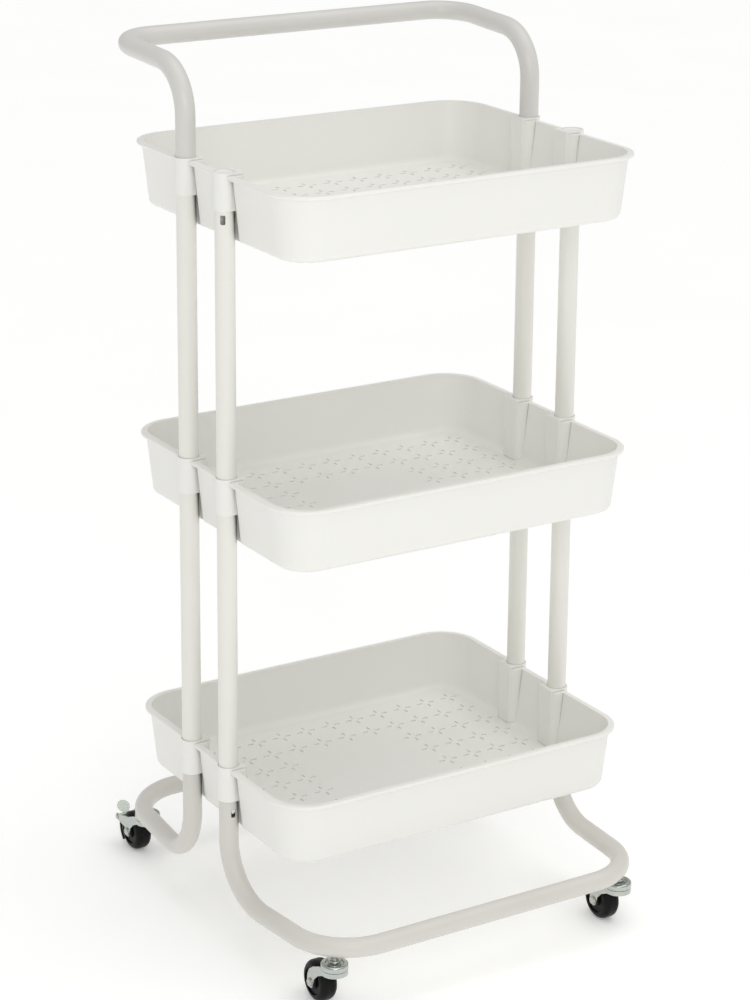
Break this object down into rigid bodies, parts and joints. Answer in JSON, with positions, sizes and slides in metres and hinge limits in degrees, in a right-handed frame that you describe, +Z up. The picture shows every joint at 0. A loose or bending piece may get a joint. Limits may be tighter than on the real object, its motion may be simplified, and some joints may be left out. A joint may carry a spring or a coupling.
{
  "type": "rolling utility cart",
  "caption": "Tiered storage trolley: rimmed plastic trays with slotted floors on tubular posts, a bent push handle, bent base tubes and swivel casters with foot brakes.",
  "frame": {"origin": "on the floor, under the middle of the whole cart's box; the middle of the trays is 19.9 mm in front of it", "axes": "+X to the cart's right along the trays' long side, +Y to the rear where the push handle leans out, +Z up; the floor is Z = 0"},
  "size_m": [0.4416, 0.5062, 0.952],
  "materials": {
    "tray_plastic": "satin moulded off-white plastic",
    "post_paint": "satin off-white powder coat",
    "handle_paint": "satin light grey-white powder coat",
    "hoop_paint": "satin warm grey-white powder coat",
    "coupler_plastic": "matte moulded off-white plastic",
    "zinc_steel": "bright zinc-plated pressed steel",
    "rivet_steel": "zinc-plated riveted steel",
    "ball_steel": "polished bearing steel",
    "pedal_zinc": "zinc-plated sheet with a pale green-grey tint",
    "wheel_plastic": "semi-gloss black hard plastic"
  },
  "bodies": {
    "cart_frame": {"tray_bottom": "tray_plastic", "tray_middle": "tray_plastic", "tray_top": "tray_plastic", "post_lower_front_left": "post_paint", "post_lower_front_right": "post_paint", "post_lower_rear_left": "post_paint", "post_lower_rear_right": "post_paint", "post_upper_front_left": "post_paint", "post_upper_front_right": "post_paint", "post_upper_rear_left": "post_paint", "post_upper_rear_right": "post_paint", "handle_tube": "handle_paint", "hoop_front": "hoop_paint", "hoop_rear": "hoop_paint", "couplers_bottom": "coupler_plastic", "couplers_middle": "coupler_plastic", "couplers_top": "coupler_plastic", "cap_left": "tray_plastic", "cap_right": "tray_plastic", "weld_nuts_front": "zinc_steel", "weld_nuts_rear": "zinc_steel", "stem_front_left": "zinc_steel", "jam_nut_front_left": "zinc_steel", "race_front_left": "zinc_steel", "stem_front_right": "zinc_steel", "jam_nut_front_right": "zinc_steel", "race_front_right": "zinc_steel", "stem_rear_left": "zinc_steel", "jam_nut_rear_left": "zinc_steel", "race_rear_left": "zinc_steel", "stem_rear_right": "zinc_steel", "jam_nut_rear_right": "zinc_steel", "race_rear_right": "zinc_steel"},
    "swivel_front_left": {"fork_front_left": "zinc_steel", "axle_front_left": "rivet_steel", "balls_front_left": "ball_steel"},
    "rolling_front_left": {"wheel_front_left": "wheel_plastic"},
    "swivel_front_right": {"fork_front_right": "zinc_steel", "axle_front_right": "rivet_steel", "balls_front_right": "ball_steel"},
    "rolling_front_right": {"wheel_front_right": "wheel_plastic"},
    "swivel_rear_left": {"fork_rear_left": "zinc_steel", "axle_rear_left": "rivet_steel", "balls_rear_left": "ball_steel", "brake_pin_rear_left": "rivet_steel"},
    "rolling_rear_left": {"wheel_rear_left": "wheel_plastic"},
    "pedal_rear_left": {"brake_pedal_rear_left": "pedal_zinc"},
    "swivel_rear_right": {"fork_rear_right": "zinc_steel", "axle_rear_right": "rivet_steel", "balls_rear_right": "ball_steel", "brake_pin_rear_right": "rivet_steel"},
    "rolling_rear_right": {"wheel_rear_right": "wheel_plastic"},
    "pedal_rear_right": {"brake_pedal_rear_right": "pedal_zinc"}
  },
  "joints": [
    {"name": "front_left_swivel", "type": "hinge", "parent": "cart_frame", "child": "swivel_front_left", "pos_m": [-0.17852, -0.22562, 0.0476], "axis": [0, 0, 1], "continuous": true},
    {"name": "front_left_wheel_spin", "type": "hinge", "parent": "swivel_front_left", "child": "rolling_front_left", "pos_m": [-0.17852, -0.19762, 0.022], "axis": [1, 0, 0], "continuous": true},
    {"name": "front_right_swivel", "type": "hinge", "parent": "cart_frame", "child": "swivel_front_right", "pos_m": [0.17852, -0.22562, 0.0476], "axis": [0, 0, 1], "continuous": true},
    {"name": "front_right_wheel_spin", "type": "hinge", "parent": "swivel_front_right", "child": "rolling_front_right", "pos_m": [0.17852, -0.19762, 0.022], "axis": [1, 0, 0], "continuous": true},
    {"name": "rear_left_swivel", "type": "hinge", "parent": "cart_frame", "child": "swivel_rear_left", "pos_m": [-0.17852, 0.18582, 0.0476], "axis": [0, 0, 1], "continuous": true},
    {"name": "rear_left_wheel_spin", "type": "hinge", "parent": "swivel_rear_left", "child": "rolling_rear_left", "pos_m": [-0.17852, 0.21382, 0.022], "axis": [1, 0, 0], "continuous": true},
    {"name": "rear_left_brake", "type": "hinge", "parent": "swivel_rear_left", "child": "pedal_rear_left", "pos_m": [-0.17852, 0.23825, 0.03089], "axis": [-1, 0, 0], "range_deg": [0, 6]},
    {"name": "rear_right_swivel", "type": "hinge", "parent": "cart_frame", "child": "swivel_rear_right", "pos_m": [0.17852, 0.18582, 0.0476], "axis": [0, 0, 1], "continuous": true},
    {"name": "rear_right_wheel_spin", "type": "hinge", "parent": "swivel_rear_right", "child": "rolling_rear_right", "pos_m": [0.17852, 0.21382, 0.022], "axis": [1, 0, 0], "continuous": true},
    {"name": "rear_right_brake", "type": "hinge", "parent": "swivel_rear_right", "child": "pedal_rear_right", "pos_m": [0.17852, 0.23825, 0.03089], "axis": [-1, 0, 0], "range_deg": [0, 6]}
  ]
}
